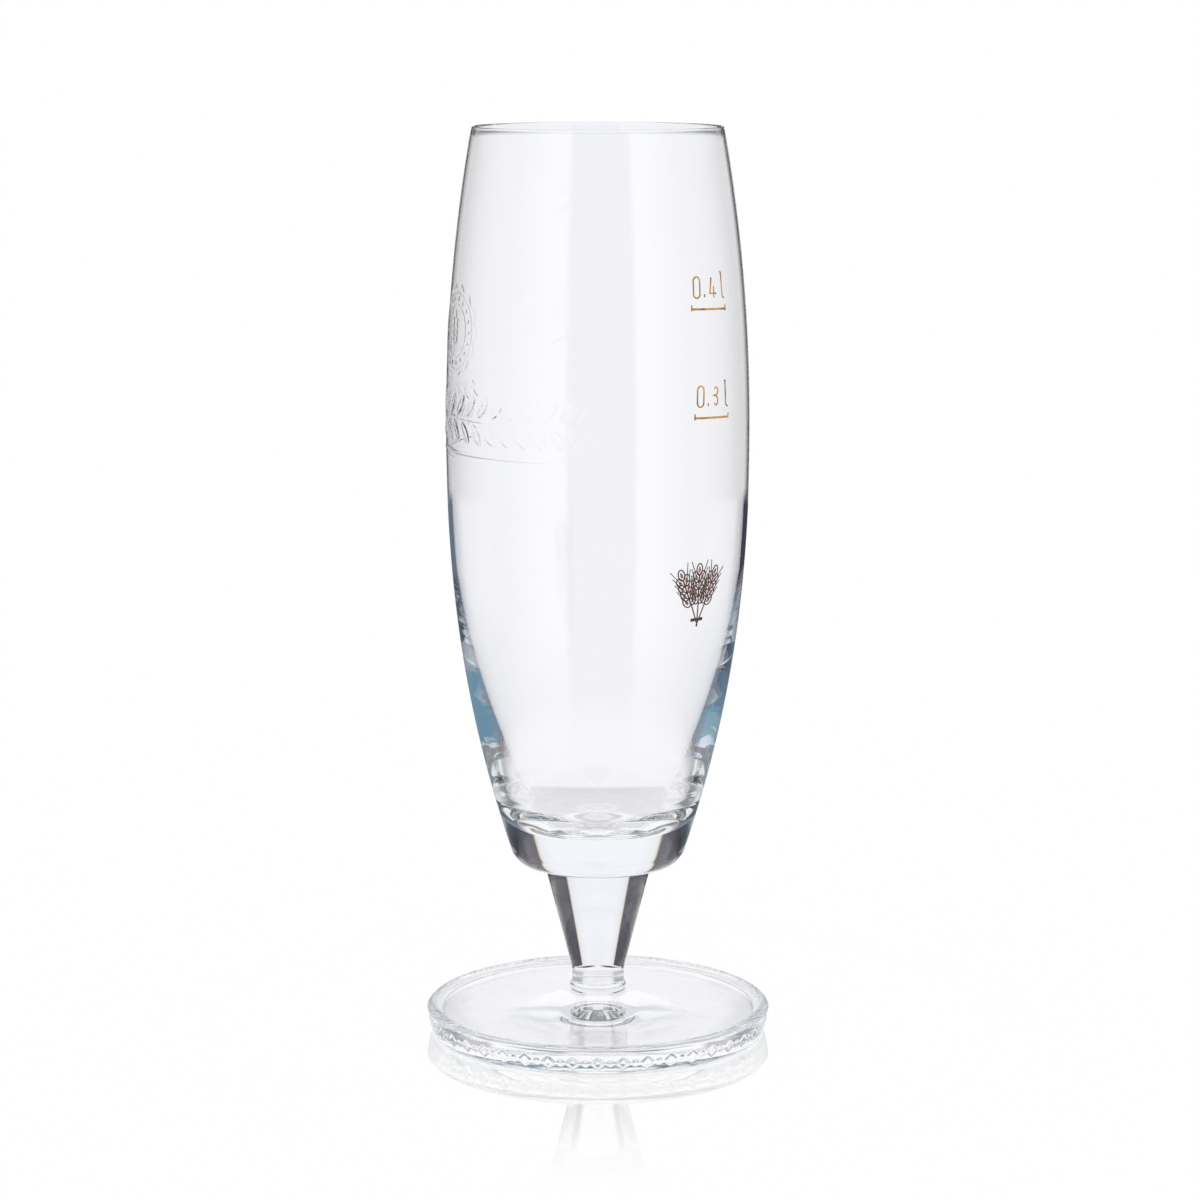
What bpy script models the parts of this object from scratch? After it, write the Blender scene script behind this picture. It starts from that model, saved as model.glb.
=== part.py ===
# A footed beer glass, empty: a tall blown bowl with a heavy base, a short solid stem and a thick
# plate foot. The three glass pieces are fused face to face, and the bowl carries a fired enamel fill
# line. The model stands on Z = 0 with its axis on Z.

import math

import bmesh
import bpy

# Driving dimensions, in millimetres and degrees
MM = 0.001
CUBIC_MM_PER_ML = 1000

FOOT_RADIUS = 42.7  # at the widest line of the edge
FOOT_BASE_RADIUS = 41.5  # where the edge would meet the table
FOOT_EDGE_HEIGHT = 6.0  # table to the widest line
FOOT_EDGE_ROUND = 0.8  # rounding there
SHOULDER_WIDTH = 2.6  # rounded shoulder inside the widest line
SHOULDER_RISE = 1.2
FOOT_HEIGHT = 10.0  # table to the stem joint
FOOT_LAND_RADIUS = 8.4  # flat land that takes the stem
REST_RING_WIDTH = 2.6  # flat ring that the glass rests on, with its rounding
HOLLOW_DEPTH = 1.0  # shallow hollow inside the rest ring

STEM_LENGTH = 31.4
STEM_TOP_RADIUS = 13.1
NECK_RADIUS = 6.5
NECK_HEIGHT = 5.6  # foot joint to the middle of the bend into the cone
NECK_BEND = 10.0  # radius of that bend
LIP_RADIUS = 7.0  # ring at the stem's lower end
LIP_HEIGHT = 2.4

BOWL_HEIGHT = 182.6  # stem joint to rim
RIM_RADIUS = 30.5
BELLY_RADIUS = 37.0
BELLY_HEIGHT = 108.5  # stem joint to the widest line
CORNER_RADIUS = 20.6  # outer radius where the side turns under
CORNER_HEIGHT = 2.0  # stem joint to that corner
CORNER_ROUND = 6.0
WALL = 1.1  # from the rim down to the swell
SWELL_HEIGHT = 93.6  # stem joint to where the wall starts to thicken
BASE_THICKNESS = 10.9  # stem joint to the bowl's floor
BASE_WALL = 10.8  # wall at the level of the floor
FLOOR_ROUND = 5.0

UPPER_POWER = 2.05  # how the side curves from the belly to the rim
LOWER_POWER = 2.24  # and from the belly to the base
SWELL_POWER = 2.0  # how the wall thickens below the swell
FOOT_TOP_POWER = 2.2  # how the foot's top sweeps up to the stem

FILL_VOLUME_ML = 400
LINE_LENGTH = 12.8
LINE_HEIGHT = 0.9
LINE_AZIMUTH = -41.5  # degrees from +X, counted towards +Y
ENAMEL_THICKNESS = 0.1
ENAMEL_GAP = 0.05

# Finishes
CLEAR_GLASS = (0.96, 0.97, 0.98)
GOLD_ENAMEL = (0.60, 0.30, 0.04)
GLASS_IOR = 1.5

# Facets
TURN_STEPS = 56
LINE_STEPS = 8
WALL_POINTS = 9
ROUND_POINTS = 4
SLICES = 400  # layers used to add up the bowl's volume
TANGENT_STEP = 1.0  # rise over which a side's slope is taken at a rounded corner
MERGE_DISTANCE = 0.00001  # in metres

FOOT_JOINT = FOOT_HEIGHT
BOWL_JOINT = FOOT_JOINT + STEM_LENGTH
BELLY = BOWL_JOINT + BELLY_HEIGHT
RIM = BOWL_JOINT + BOWL_HEIGHT
CORNER = BOWL_JOINT + CORNER_HEIGHT
FLOOR = BOWL_JOINT + BASE_THICKNESS
SWELL = BOWL_JOINT + SWELL_HEIGHT


def outer_radius(height):
    """Outer radius of the bowl's side at a height above the table."""
    if height > BELLY:
        share = (height - BELLY) / (RIM - BELLY)
        return BELLY_RADIUS - (BELLY_RADIUS - RIM_RADIUS) * share**UPPER_POWER
    share = (BELLY - height) / (BELLY - CORNER)
    return BELLY_RADIUS - (BELLY_RADIUS - CORNER_RADIUS) * share**LOWER_POWER


def inner_radius(height):
    """Inner radius of the bowl's side, before the floor is rounded into it."""
    share = max(0.0, (SWELL - height) / (SWELL - FLOOR))
    return outer_radius(height) - WALL - (BASE_WALL - WALL) * share**SWELL_POWER


def spread(start, end, count):
    """count + 1 even steps from start to end."""
    return [start + (end - start) * i / count for i in range(count + 1)]


def unit(start, end):
    """Direction from start to end in the profile's plane."""
    length = math.dist(start, end)
    return ((end[0] - start[0]) / length, (end[1] - start[1]) / length)


def rounded(before, corner, after, radius):
    """Arc of a given radius that rounds a corner between the points before and after it."""
    back = unit(corner, before)
    ahead = unit(corner, after)
    half_angle = math.acos(back[0] * ahead[0] + back[1] * ahead[1]) / 2
    middle = unit((0, 0), (back[0] + ahead[0], back[1] + ahead[1]))
    reach = radius / math.sin(half_angle)
    centre = (corner[0] + middle[0] * reach, corner[1] + middle[1] * reach)
    leg = radius / math.tan(half_angle)
    first = (corner[0] + back[0] * leg, corner[1] + back[1] * leg)
    last = (corner[0] + ahead[0] * leg, corner[1] + ahead[1] * leg)
    start = math.atan2(first[1] - centre[1], first[0] - centre[0])
    end = math.atan2(last[1] - centre[1], last[0] - centre[0])
    turn = math.remainder(end - start, math.tau)
    angles = spread(start, start + turn, ROUND_POINTS)
    return [(centre[0] + radius * math.cos(a), centre[1] + radius * math.sin(a)) for a in angles]


def bowl_profile():
    """From the middle of the floor up the inside, over the rim and down the outside to the joint."""
    floor_corner = (inner_radius(FLOOR), FLOOR)
    wall_start = FLOOR + TANGENT_STEP
    floor_arc = rounded((0, FLOOR), floor_corner, (inner_radius(wall_start), wall_start), FLOOR_ROUND)
    inside = [(inner_radius(z), z) for z in spread(floor_arc[-1][1], SWELL, WALL_POINTS)[1:]]
    lip_round = WALL / 2
    lip_middle = RIM_RADIUS - lip_round
    lip_height = RIM - lip_round
    inside += [(inner_radius(z), z) for z in spread(SWELL, lip_height, WALL_POINTS)[1:-1]]
    lip_angles = spread(math.pi, 0, ROUND_POINTS)
    lip = [(lip_middle + lip_round * math.cos(a), lip_height + lip_round * math.sin(a)) for a in lip_angles]
    corner_point = (CORNER_RADIUS, CORNER)
    joint_edge = (STEM_TOP_RADIUS, BOWL_JOINT)
    side_end = CORNER + TANGENT_STEP
    under_arc = rounded((outer_radius(side_end), side_end), corner_point, joint_edge, CORNER_ROUND)
    upper = [(outer_radius(z), z) for z in spread(lip_height, BELLY, WALL_POINTS)[1:]]
    lower = [(outer_radius(z), z) for z in spread(BELLY, under_arc[0][1], WALL_POINTS)[1:-1]]
    return [(0, FLOOR)] + floor_arc + inside + lip + upper + lower + under_arc + [joint_edge, (0, BOWL_JOINT)]


def stem_profile():
    """From the middle of the bowl joint out, down the cone and neck, round the lip and in again."""
    cone_top = (STEM_TOP_RADIUS, BOWL_JOINT)
    bend = (NECK_RADIUS, FOOT_JOINT + NECK_HEIGHT)
    neck_foot = (NECK_RADIUS, FOOT_JOINT + LIP_HEIGHT)
    neck_arc = rounded(cone_top, bend, neck_foot, NECK_BEND)
    lip_angles = spread(math.pi / 2, -math.pi / 2, ROUND_POINTS)
    lip_middle = FOOT_JOINT + LIP_HEIGHT / 2
    lip_bulge = LIP_RADIUS - NECK_RADIUS
    lip = [
        (NECK_RADIUS + lip_bulge * math.cos(a), lip_middle + LIP_HEIGHT / 2 * math.sin(a))
        for a in lip_angles
    ]
    return [(0, BOWL_JOINT), cone_top] + neck_arc + lip + [(0, FOOT_JOINT)]


def foot_profile():
    """From the middle of the land out over the top, round the edge and in under the hollow."""
    shoulder_radius = FOOT_RADIUS - SHOULDER_WIDTH
    shoulder_height = FOOT_EDGE_HEIGHT + SHOULDER_RISE
    top = []
    for share in spread(0, 1, ROUND_POINTS):
        radius = FOOT_LAND_RADIUS + (shoulder_radius - FOOT_LAND_RADIUS) * share
        rise = (FOOT_HEIGHT - shoulder_height) * (1 - share) ** FOOT_TOP_POWER
        top.append((radius, shoulder_height + rise))
    arc_radius = (SHOULDER_WIDTH**2 + SHOULDER_RISE**2) / (2 * SHOULDER_RISE)
    arc_drop = shoulder_height - arc_radius
    arc_end = math.asin(SHOULDER_WIDTH / arc_radius)
    shoulder = [
        (shoulder_radius + arc_radius * math.sin(a), arc_drop + arc_radius * math.cos(a))
        for a in spread(0, arc_end, ROUND_POINTS)[1:]
    ]
    ring_radius = FOOT_BASE_RADIUS - REST_RING_WIDTH
    edge = rounded(shoulder[-1], (FOOT_BASE_RADIUS, 0), (ring_radius, 0), FOOT_EDGE_ROUND)
    hollow = [
        (ring_radius * math.cos(a), HOLLOW_DEPTH * math.sin(a)) for a in spread(0, math.pi / 2, ROUND_POINTS)
    ]
    return [(0, FOOT_HEIGHT)] + top + shoulder + edge + hollow[:-1] + [(0, HOLLOW_DEPTH)]


def fill_height(volume_ml):
    """Height above the table at which the bowl holds a volume, its floor taken as square."""
    layer = (RIM - FLOOR) / SLICES
    height = FLOOR
    held = 0.0
    while held < volume_ml * CUBIC_MM_PER_ML:
        held += math.pi * inner_radius(height + layer / 2) ** 2 * layer
        height += layer
    return height


def finish(name, colour, roughness, transmission):
    """A material for one piece; transmission is 1 for clear glass and 0 for enamel."""
    material = bpy.data.materials.new(name)
    material.use_nodes = True
    shader = material.node_tree.nodes["Principled BSDF"]
    shader.inputs["Base Color"].default_value = (*colour, 1)
    shader.inputs["Roughness"].default_value = roughness
    shader.inputs["Metallic"].default_value = 0.0
    shader.inputs["Transmission Weight"].default_value = transmission
    shader.inputs["IOR"].default_value = GLASS_IOR
    return material


def profile_object(name, points, collection):
    """An object whose mesh is an open line through (radius, height) points, in millimetres."""
    mesh = bpy.data.meshes.new(name)
    line = bmesh.new()
    corners = [line.verts.new((radius * MM, 0, height * MM)) for radius, height in points]
    for first, second in zip(corners, corners[1:]):
        line.edges.new((first, second))
    line.to_mesh(mesh)
    line.free()
    piece = bpy.data.objects.new(name, mesh)
    collection.objects.link(piece)
    return piece


def turned(name, points, collection):
    """A clear glass solid of revolution about Z."""
    piece = profile_object(name, points, collection)
    piece.data.materials.append(finish(f"{name}_glass", CLEAR_GLASS, 0.0, 1.0))
    screw = piece.modifiers.new("Turn", "SCREW")
    screw.steps = TURN_STEPS
    screw.render_steps = TURN_STEPS
    screw.use_merge_vertices = True
    screw.merge_threshold = MERGE_DISTANCE
    screw.use_smooth_shade = True
    return piece


def fill_line(volume_ml, collection):
    """A thin enamel bar on the outside of the bowl at the level of a volume."""
    middle = fill_height(volume_ml)
    heights = spread(middle + LINE_HEIGHT / 2, middle - LINE_HEIGHT / 2, 2)
    points = [(outer_radius(z) + ENAMEL_GAP, z) for z in heights]
    piece = profile_object(f"fill_line_{volume_ml}", points, collection)
    piece.data.materials.append(finish(f"gold_enamel_{volume_ml}", GOLD_ENAMEL, 0.3, 0.0))
    span = LINE_LENGTH / outer_radius(middle)
    screw = piece.modifiers.new("Turn", "SCREW")
    screw.angle = span
    screw.steps = LINE_STEPS
    screw.render_steps = LINE_STEPS
    screw.use_smooth_shade = True
    skin = piece.modifiers.new("Enamel", "SOLIDIFY")
    skin.thickness = ENAMEL_THICKNESS * MM
    skin.offset = 1.0
    piece.rotation_euler.z = math.radians(LINE_AZIMUTH) - span / 2
    return piece


def build():
    for old in list(bpy.data.objects):
        bpy.data.objects.remove(old, do_unlink=True)
    collection = bpy.data.collections.new("footed_beer_glass")
    bpy.context.scene.collection.children.link(collection)

    turned("bowl", bowl_profile(), collection)
    turned("stem", stem_profile(), collection)
    turned("foot", foot_profile(), collection)
    fill_line(FILL_VOLUME_ML, collection)


build()
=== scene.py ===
# Looks of an empty footed beer glass: clear blown bowl with moulded ornament, drawn stem, pressed
# foot with a moulded edge, and fired enamel marks, on a glossy white table in a photographer's studio.
# Outlines are in millimetres, as (radius, height) pairs; meshes are in metres.

import math

import bmesh
import bpy
from mathutils import Matrix, Vector


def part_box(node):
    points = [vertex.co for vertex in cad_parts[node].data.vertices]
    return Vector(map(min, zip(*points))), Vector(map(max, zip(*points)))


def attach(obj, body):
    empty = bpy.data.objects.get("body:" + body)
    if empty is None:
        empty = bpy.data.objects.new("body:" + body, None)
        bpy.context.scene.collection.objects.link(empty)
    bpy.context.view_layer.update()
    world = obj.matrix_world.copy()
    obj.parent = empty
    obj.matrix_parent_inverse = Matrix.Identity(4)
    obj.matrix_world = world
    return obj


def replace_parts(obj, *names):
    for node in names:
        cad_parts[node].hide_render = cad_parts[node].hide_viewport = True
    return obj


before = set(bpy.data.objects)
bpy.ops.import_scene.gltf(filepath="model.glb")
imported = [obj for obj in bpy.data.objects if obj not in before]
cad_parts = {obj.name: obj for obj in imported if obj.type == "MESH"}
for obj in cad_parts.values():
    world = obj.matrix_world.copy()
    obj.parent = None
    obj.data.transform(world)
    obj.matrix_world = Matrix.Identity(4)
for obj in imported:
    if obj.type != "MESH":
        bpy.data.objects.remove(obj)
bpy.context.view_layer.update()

# Levels and radii given by the frame
MM = 0.001
BODY = "root"
bowl_low, bowl_high = (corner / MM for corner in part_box("bowl"))
stem_low, stem_high = (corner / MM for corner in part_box("stem"))
foot_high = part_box("foot")[1] / MM
line_low, line_high = (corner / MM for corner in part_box("fill_line_400"))
RIM = bowl_high.z
BOWL_JOINT = bowl_low.z
FOOT_JOINT = stem_low.z
BELLY_RADIUS = bowl_high.x
STEM_TOP_RADIUS = stem_high.x
FOOT_RADIUS = foot_high.x
UPPER_MARK_LEVEL = (line_low.z + line_high.z) / 2

# Bowl
BELLY = BOWL_JOINT + 108.5
RIM_RADIUS = 30.5
CORNER_RADIUS = 20.6
CORNER = BOWL_JOINT + 2.0
CORNER_ROUND = 6.0
WALL = 1.1
SWELL = BOWL_JOINT + 76.4
FLOOR = BOWL_JOINT + 10.9
BASE_WALL = 8.7
FLOOR_ROUND = 14.0
PAD_RADIUS = 12.0
PAD_RISE = 2.4
UPPER_POWER = 2.05
LOWER_POWER = 2.24
SWELL_POWER = 1.68

# Stem
NECK_RADIUS = 6.5
NECK_HEIGHT = 5.6
NECK_BEND = 10.0
LIP_RADIUS = 7.0
LIP_HEIGHT = 2.4

# Foot
FOOT_BASE_RADIUS = 41.5
FOOT_EDGE_HEIGHT = 6.0
FOOT_EDGE_ROUND = 0.8
SHOULDER_WIDTH = 2.6
SHOULDER_RISE = 1.2
FOOT_LAND_RADIUS = 8.4
FOOT_TOP_POWER = 2.2
REST_RING_WIDTH = 2.6
HOLLOW_DEPTH = 1.0

# Mesh detail
TURN_STEPS = 160
FOOT_STEPS = 240
COARSE = 2.0
FINE = 1.0
ROUND_POINTS = 12
TANGENT_STEP = 1.0
MERGE_DISTANCE = 1e-7
CREASE = math.radians(20)

# Moulded ornament on the bowl; azimuths are turned from the camera's side towards +X
ORNAMENT_RISE = 0.15
MOULD_EDGE = 0.35
BAND_CUTS = 6
MEDALLION_CUTS = 7
MEDALLION_AZIMUTH = math.radians(-70)
MEDALLION_LEVEL = 176.0
MEDALLION_RADIUS = 9.2
MEDALLION_REACH = 1.3  # this and the next four are shares of the medallion's radius
SCALLOP_REACH = 1.19
SCALLOP_DEPTH = 0.045
INNER_RING = 0.68
BEAD_RING = 0.84
SCALLOPS = 14
SCALLOP_RISE = 0.5  # share of the full rise
OUTER_RING_HALF_WIDTH = 0.4
INNER_RING_HALF_WIDTH = 0.35
RING_BEADS = 18
RING_BEAD_RADIUS = 0.7
EAR_STALK_LOW = -5.0
EAR_STALK_HIGH = 0.5
EAR_STALK_HALF_WIDTH = 0.3
EAR_TIP_LEVEL = 3.9
EAR_TIP_GRAIN = (0.75, 1.35)  # half width and half length
EAR_PAIRS = 4
EAR_LOWEST_PAIR = -2.2
EAR_PITCH = 1.45
EAR_GRAIN_SIDE = 1.15
EAR_GRAIN = (0.7, 1.3)
EAR_GRAIN_LEAN = (0.9, 0.43)  # cosine and sine
BAND_LEVEL = 155.5
BAND_START = math.radians(-128)
BAND_END = math.radians(4)
LEAF_PITCH = 4.8
LEAF_LENGTH = 7.0
LEAF_WIDTH = 2.8
LEAF_SLANT = math.radians(52)
LEAF_LIFT = 3.2
LEAF_STALK_HALF_WIDTH = 0.35
VEIN_DEPTH = 0.6
VEIN_HALF_WIDTH = 0.35
LINE_BELOW_LEAVES = 8.4
LINE_HALF_WIDTH = 0.45
THIN_LINE_BELOW_LINE = 1.6
THIN_LINE_HALF_WIDTH = 0.3
THIN_LINE_RISE = 0.6
BAND_FADE = 4.0
BAND_SPARE_BELOW = 3.0
BAND_SPARE_ABOVE = 1.0

# Moulded edge of the foot
EDGE_RISE = 0.12
EDGE_CUTS = 3
EDGE_REPEATS = 44
EDGE_MIDDLE = 3.3
LOZENGE_HALF_LENGTH = 1.9
LOZENGE_HALF_HEIGHT = 1.7
LOZENGE_SLOPE = 0.7  # sine of the angle of its sides
BEAD_RADIUS = 0.8

# Enamel
ENAMEL_GAP = 0.05
ENAMEL_THICKNESS = 0.1
MARK_AZIMUTH = math.radians(47)
LOWER_MARK_LEVEL = 156.8  # where the CAD's bowl holds 0.3 l
MARK_LENGTH = 11.9
MARK_LEAN = math.radians(-2.5)
LINE_STROKE = 0.5
TICK_HALF = 0.7
FIGURE_STROKE = 0.36
FIGURE_HEIGHT = 4.6
FIGURE_WIDTH = 1.65
FIGURE_GAP = 1.9
FIGURES_START = 1.0
FIGURES_ABOVE_LINE = 2.5
SHEAF_AZIMUTH = math.radians(42)
SHEAF_LEVEL = 114.6
SHEAF_LINE = 0.3
SHEAF_LEANS = (-0.42, 0.0, 0.42)
STALK_SPREAD = 2.0
STALK_LEVEL = -5.5
STALK_START = -2.6
STALK_END = 4.0
TIE_LEVEL = -5.9
TIE_HALF_LENGTH = 1.9
TIE_WIDTH = 0.8
GRAIN_PAIRS = 4
GRAINS_START = 4.4
GRAIN_PITCH = 1.75
GRAIN_SIDE = 0.95
GRAIN_LEAN = 0.42
TIP_GRAIN = 11.4
GRAIN_HALF_WIDTH = 0.75
GRAIN_HALF_LENGTH = 1.25
GRAIN_TAPER = 0.25
KERNEL_WIDTH = 0.5  # share of the grain's
KERNEL_LENGTH = 0.6
KERNEL_STEPS = 16
AWN_LENGTH = 4.2
AWN_WIDTH = 0.6  # share of the sheaf's line


# Outlines


def spread(start, end, count):
    """count + 1 even steps from start to end."""
    return [start + (end - start) * i / count for i in range(count + 1)]


def steps(start, end, spacing):
    """Even steps from start to end, no further apart than a spacing."""
    return spread(start, end, max(1, math.ceil(abs(end - start) / spacing)))


def filled(points, spacing):
    """The points, with more of them along each stretch longer than a spacing."""
    result = [points[0]]
    for first, second in zip(points, points[1:]):
        count = max(1, math.ceil(math.dist(first, second) / spacing))
        for share in spread(0, 1, count)[1:]:
            result.append(tuple(a + (b - a) * share for a, b in zip(first, second)))
    return result


def unit(start, end):
    """Direction from start to end."""
    length = math.dist(start, end)
    return ((end[0] - start[0]) / length, (end[1] - start[1]) / length)


def rounded(before, corner, after, radius):
    """Arc of a given radius that rounds a corner between the points before and after it."""
    back = unit(corner, before)
    ahead = unit(corner, after)
    half_angle = math.acos(back[0] * ahead[0] + back[1] * ahead[1]) / 2
    middle = unit((0, 0), (back[0] + ahead[0], back[1] + ahead[1]))
    reach = radius / math.sin(half_angle)
    centre = (corner[0] + middle[0] * reach, corner[1] + middle[1] * reach)
    leg = radius / math.tan(half_angle)
    first = (corner[0] + back[0] * leg, corner[1] + back[1] * leg)
    last = (corner[0] + ahead[0] * leg, corner[1] + ahead[1] * leg)
    start = math.atan2(first[1] - centre[1], first[0] - centre[0])
    end = math.atan2(last[1] - centre[1], last[0] - centre[0])
    turn = math.remainder(end - start, math.tau)
    return arc(centre, radius, radius, start, start + turn)


def arc(centre, across, up, start, end):
    """Points on an ellipse from one angle to another."""
    angles = spread(start, end, ROUND_POINTS)
    return [(centre[0] + across * math.cos(a), centre[1] + up * math.sin(a)) for a in angles]


def outer_radius(height):
    """Outer radius of the bowl's side at a height above the table."""
    if height > BELLY:
        share = (height - BELLY) / (RIM - BELLY)
        return BELLY_RADIUS - (BELLY_RADIUS - RIM_RADIUS) * share**UPPER_POWER
    share = (BELLY - height) / (BELLY - CORNER)
    return BELLY_RADIUS - (BELLY_RADIUS - CORNER_RADIUS) * share**LOWER_POWER


def inner_radius(height):
    """Inner radius of the bowl's side, before the floor is rounded into it."""
    share = max(0.0, (SWELL - height) / (SWELL - FLOOR))
    return outer_radius(height) - WALL - (BASE_WALL - WALL) * share**SWELL_POWER


def bowl_outline():
    """From the middle of the floor up the inside, over the rim, down the outside and in to the joint."""
    wall_start = FLOOR + TANGENT_STEP
    floor_corner = (inner_radius(FLOOR), FLOOR)
    floor_arc = rounded((0, FLOOR), floor_corner, (inner_radius(wall_start), wall_start), FLOOR_ROUND)
    lip_round = WALL / 2
    lip_level = RIM - lip_round
    lip = arc((RIM_RADIUS - lip_round, lip_level), lip_round, lip_round, math.pi, 0)
    joint_edge = (STEM_TOP_RADIUS, BOWL_JOINT)
    side_end = CORNER + TANGENT_STEP
    corner = (CORNER_RADIUS, CORNER)
    under_arc = rounded((outer_radius(side_end), side_end), corner, joint_edge, CORNER_ROUND)
    inside_levels = steps(floor_arc[-1][1], SWELL, FINE)[1:] + steps(SWELL, lip_level, COARSE)[1:-1]
    outside_levels = steps(lip_level, SWELL, COARSE)[1:] + steps(SWELL, under_arc[0][1], FINE)[1:-1]
    inside = [(inner_radius(z), z) for z in inside_levels]
    outside = [(outer_radius(z), z) for z in outside_levels]
    floor = [(radius, FLOOR) for radius in steps(0, floor_arc[0][0], FINE / 2)[:-1]] + floor_arc
    floor = [(radius, z + PAD_RISE * ridge(radius, PAD_RADIUS)) for radius, z in floor]
    underside = filled([under_arc[-1], joint_edge, (0, BOWL_JOINT)], FINE)[1:]
    return floor + inside + lip + outside + under_arc + underside


def stem_outline():
    """From the middle of the bowl joint out, down the cone and neck, round the lip and in again."""
    cone_top = (STEM_TOP_RADIUS, BOWL_JOINT)
    bend = (NECK_RADIUS, FOOT_JOINT + NECK_HEIGHT)
    neck_foot = (NECK_RADIUS, FOOT_JOINT + LIP_HEIGHT)
    neck_arc = rounded(cone_top, bend, neck_foot, NECK_BEND)
    lip_middle = (NECK_RADIUS, FOOT_JOINT + LIP_HEIGHT / 2)
    lip = arc(lip_middle, LIP_RADIUS - NECK_RADIUS, LIP_HEIGHT / 2, math.pi / 2, -math.pi / 2)
    return filled([(0, BOWL_JOINT), cone_top] + neck_arc + lip + [(0, FOOT_JOINT)], FINE)


def foot_outline():
    """From the middle of the land out over the top, round the edge and in under the hollow."""
    shoulder_radius = FOOT_RADIUS - SHOULDER_WIDTH
    shoulder_level = FOOT_EDGE_HEIGHT + SHOULDER_RISE
    land = filled([(0, FOOT_JOINT), (NECK_RADIUS, FOOT_JOINT), (FOOT_LAND_RADIUS, FOOT_JOINT)], FINE)
    top = []
    for radius in steps(FOOT_LAND_RADIUS, shoulder_radius, FINE)[1:]:
        share = (radius - FOOT_LAND_RADIUS) / (shoulder_radius - FOOT_LAND_RADIUS)
        rise = (FOOT_JOINT - shoulder_level) * (1 - share) ** FOOT_TOP_POWER
        top.append((radius, shoulder_level + rise))
    bend = (SHOULDER_WIDTH**2 + SHOULDER_RISE**2) / (2 * SHOULDER_RISE)
    bend_end = math.pi / 2 - math.asin(SHOULDER_WIDTH / bend)
    shoulder = arc((shoulder_radius, shoulder_level - bend), bend, bend, math.pi / 2, bend_end)[1:]
    ring_radius = FOOT_BASE_RADIUS - REST_RING_WIDTH
    edge_arc = rounded(shoulder[-1], (FOOT_BASE_RADIUS, 0), (ring_radius, 0), FOOT_EDGE_ROUND)
    edge = filled([shoulder[-1], edge_arc[0]], FINE)[1:-1]
    hollow = filled(arc((0, 0), ring_radius, HOLLOW_DEPTH, 0, math.pi / 2), FINE)
    hollow[-1] = (0, HOLLOW_DEPTH)
    return land + top + shoulder + edge + edge_arc + hollow


# Glass meshes


def turned(outline, steps_round):
    """A closed solid turned from an outline that starts and ends on the axis."""
    shape = bmesh.new()
    corners = [shape.verts.new((radius * MM, 0, height * MM)) for radius, height in outline]
    lines = [shape.edges.new(pair) for pair in zip(corners, corners[1:])]
    bmesh.ops.spin(
        shape, geom=corners + lines, axis=(0, 0, 1), angle=math.tau, steps=steps_round, use_merge=True
    )
    bmesh.ops.remove_doubles(shape, verts=shape.verts, dist=MERGE_DISTANCE)
    bmesh.ops.recalc_face_normals(shape, faces=shape.faces)
    smooth_but_creases(shape)
    return shape


def smooth_but_creases(shape):
    """Smooth shading, kept apart where faces meet at a crease."""
    for face in shape.faces:
        face.smooth = True
    for edge in shape.edges:
        edge.smooth = len(edge.link_faces) != 2 or edge.calc_face_angle() < CREASE


def place_of(point):
    """Azimuth from the camera's side, distance from the axis and height, in radians and millimetres."""
    return math.atan2(point.x, -point.y), math.hypot(point.x, point.y) / MM, point.z / MM


def refine(shape, wanted, cuts):
    """Cuts the faces whose middle is wanted into a finer grid."""
    faces = [face for face in shape.faces if wanted(*place_of(face.calc_center_median()))]
    edges = {edge for face in faces for edge in face.edges}
    bmesh.ops.subdivide_edges(shape, edges=list(edges), cuts=cuts, use_grid_fill=True)


def fuse_faces(shape, level, radius):
    """Gives the faces where two pieces are fused, at a level and within a radius, the second material."""
    for face in shape.faces:
        middle = face.calc_center_median()
        flat = abs(middle.z / MM - level) < MERGE_DISTANCE / MM
        if flat and math.hypot(middle.x, middle.y) < radius * MM:
            face.material_index = 1
    for edge in shape.edges:
        if len({face.material_index for face in edge.link_faces}) > 1:
            edge.smooth = False


def linked(name, shape, materials):
    """An object of the scene made from a bmesh."""
    mesh = bpy.data.meshes.new(name)
    shape.to_mesh(mesh)
    shape.free()
    for material in materials:
        mesh.materials.append(material)
    made = bpy.data.objects.new(name, mesh)
    bpy.context.scene.collection.objects.link(made)
    return made


def piece(name, shape, materials):
    """An object that rides on the glass."""
    made = linked(name, shape, materials)
    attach(made, BODY)
    return made


def staged(name, shape, material):
    """A thing of the studio, not of the glass."""
    linked(name, shape, [material])


# Moulded ornament


def ridge(distance, half_width):
    """A soft ridge, 1 on its line and 0 at half its width."""
    if distance >= half_width:
        return 0.0
    return (1 + math.cos(math.pi * distance / half_width)) / 2


def plateau(inside):
    """A flat top with a soft edge, by the distance inside an outline."""
    return 1 - ridge(max(0.0, inside), MOULD_EDGE)


def oval_plateau(across, along, half_across, half_along):
    """A flat oval with a soft edge."""
    return plateau((1 - math.hypot(across / half_across, along / half_along)) * min(half_across, half_along))


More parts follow.
